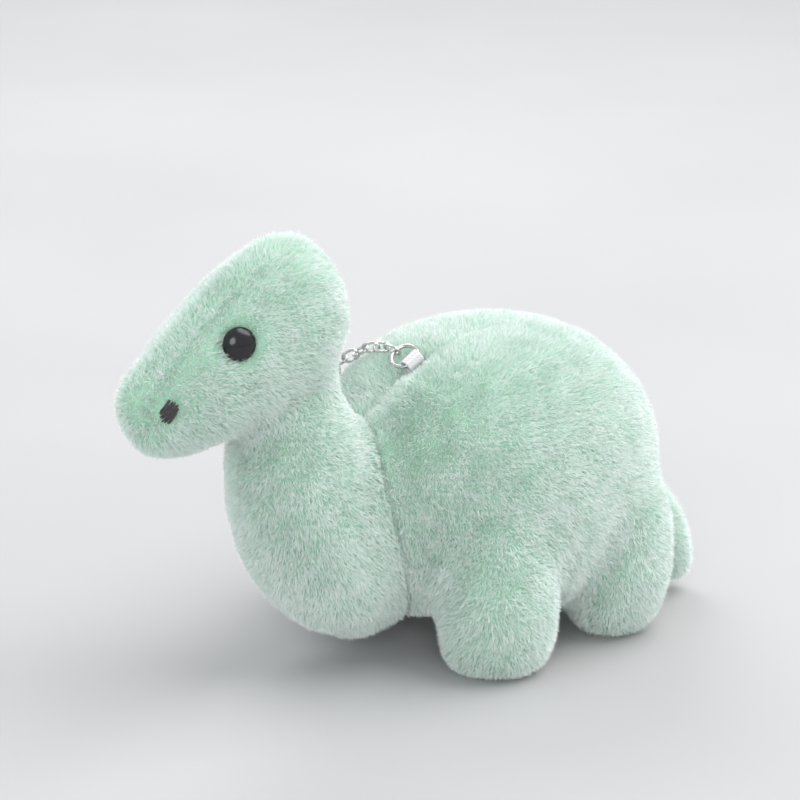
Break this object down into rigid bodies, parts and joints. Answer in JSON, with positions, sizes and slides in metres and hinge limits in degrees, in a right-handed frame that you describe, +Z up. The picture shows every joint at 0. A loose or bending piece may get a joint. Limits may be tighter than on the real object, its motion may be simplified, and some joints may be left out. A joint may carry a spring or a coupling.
{
  "type": "plush keychain",
  "caption": "Small stuffed long-necked dinosaur in pale mint plush on four stub legs, with a tape loop, a short metal chain and a split ring.",
  "frame": {"origin": "middle of the bounding box on the table plane, under the belly, with the toy standing on its four feet", "axes": "+Z up; the toy faces -Y, so +Y runs along its length towards the tail and +X is its left side"},
  "size_m": [0.0858, 0.1596, 0.1064],
  "materials": {
    "plush": "short fine-pile plush, matt, pale mint",
    "stuffing": "loose white polyester fibre",
    "eye": "polished black",
    "washer": "moulded, matt",
    "thread": "black embroidery thread, satin stitch",
    "tape": "woven satin tape",
    "metal": "nickel-plated steel wire"
  },
  "bodies": {
    "toy": {"head_top_panel": "plush", "head_side_left": "plush", "head_side_right": "plush", "head_stuffing": "stuffing", "eye_left": "eye", "eye_right": "eye", "eye_washer_left": "washer", "eye_washer_right": "washer", "nostril_left": "thread", "nostril_right": "thread", "neck_left": "plush", "neck_right": "plush", "neck_stuffing": "stuffing", "body_side_left": "plush", "body_side_right": "plush", "belly_panel": "plush", "body_stuffing": "stuffing", "leg_front_left": "plush", "leg_front_right": "plush", "leg_hind_left": "plush", "leg_hind_right": "plush", "leg_stuffing_front_left": "stuffing", "leg_stuffing_front_right": "stuffing", "leg_stuffing_hind_left": "stuffing", "leg_stuffing_hind_right": "stuffing", "tail_cover": "plush", "tail_stuffing": "stuffing", "tape_loop": "tape"},
    "tape_ring": {"tape_ring": "metal"},
    "chain_link_1": {"chain_link_1": "metal"},
    "chain_link_2": {"chain_link_2": "metal"},
    "chain_link_3": {"chain_link_3": "metal"},
    "chain_link_4": {"chain_link_4": "metal"},
    "chain_link_5": {"chain_link_5": "metal"},
    "chain_link_6": {"chain_link_6": "metal"},
    "end_ring": {"end_ring": "metal"},
    "split_ring": {"split_ring": "metal"}
  },
  "joints": [
    {"name": "tape_ring_swing", "type": "hinge", "parent": "toy", "child": "tape_ring", "pos_m": [0, 0.00103, 0.07069], "axis": [0, 0.853, 0.5219], "range_deg": [0, 45]},
    {"name": "chain_link_1_swing", "type": "hinge", "parent": "tape_ring", "child": "chain_link_1", "pos_m": [-0.00532, 0.00044, 0.07197], "axis": [0, 0.9061, -0.423], "range_deg": [0, 12]},
    {"name": "chain_link_2_swing", "type": "hinge", "parent": "chain_link_1", "child": "chain_link_2", "pos_m": [-0.00847, -0.00041, 0.07207], "axis": [0, 0.9061, -0.423], "range_deg": [0, 12]},
    {"name": "chain_link_3_swing", "type": "hinge", "parent": "chain_link_2", "child": "chain_link_3", "pos_m": [-0.01158, -0.00135, 0.07192], "axis": [0, 0.9061, -0.423], "range_deg": [0, 12]},
    {"name": "chain_link_4_swing", "type": "hinge", "parent": "chain_link_3", "child": "chain_link_4", "pos_m": [-0.01441, -0.00255, 0.07087], "axis": [0, 0.9061, -0.423], "range_deg": [0, 12]},
    {"name": "chain_link_5_swing", "type": "hinge", "parent": "chain_link_4", "child": "chain_link_5", "pos_m": [-0.01696, -0.00384, 0.0693], "axis": [0, 0.9061, -0.423], "range_deg": [0, 12]},
    {"name": "chain_link_6_swing", "type": "hinge", "parent": "chain_link_5", "child": "chain_link_6", "pos_m": [-0.0193, -0.00526, 0.06753], "axis": [0, 0.9061, -0.423], "range_deg": [0, 12]},
    {"name": "end_ring_swing", "type": "hinge", "parent": "chain_link_6", "child": "end_ring", "pos_m": [-0.02142, -0.00694, 0.06572], "axis": [0, 0.9061, -0.423], "range_deg": [0, 15]},
    {"name": "split_ring_swing", "type": "hinge", "parent": "end_ring", "child": "split_ring", "pos_m": [-0.02408, -0.00991, 0.06278], "axis": [0, 0.9061, -0.423], "range_deg": [0, 20]}
  ]
}
